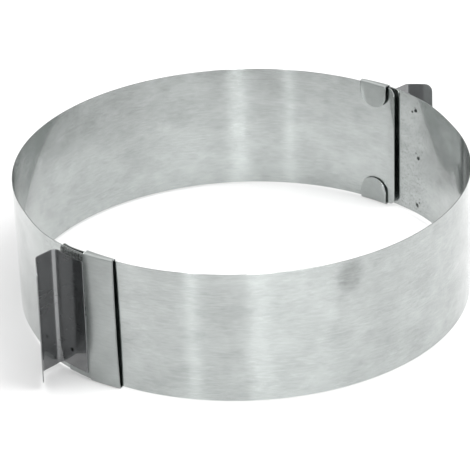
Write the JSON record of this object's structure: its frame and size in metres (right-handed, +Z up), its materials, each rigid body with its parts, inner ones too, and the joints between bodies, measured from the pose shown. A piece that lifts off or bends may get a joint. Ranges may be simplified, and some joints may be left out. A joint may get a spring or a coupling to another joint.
{
  "type": "adjustable cake ring",
  "caption": "Steel cake ring of overlapping strips that slide in folded guides, with hooked handles to draw it to size.",
  "frame": {"origin": "on the surface the ring stands on, under the ring's centre, which is also the centre of the outer box's bottom", "axes": "+Z up along the ring's axis, +X towards the right handle and -X towards the left one, +Y towards the rear strip, with -Y the side that both hooks open to"},
  "size_m": [0.346, 0.286, 0.0874],
  "materials": {
    "strip_steel": "cold-rolled spring steel, finely brushed along the strip",
    "guide_steel": "satin stainless sheet, folded",
    "handle_steel": "satin stainless sheet, bent"
  },
  "bodies": {
    "rear_half": {"rear_band": "strip_steel", "left_guide": "guide_steel", "left_handle": "handle_steel"},
    "front_half": {"front_band": "strip_steel", "right_guide": "guide_steel", "right_handle": "handle_steel"}
  },
  "joints": [
    {"name": "band_slide", "type": "hinge", "parent": "rear_half", "child": "front_half", "pos_m": [0, 0, 0], "axis": [0, 0, 1], "range_deg": [-7.5, 12.5]}
  ]
}
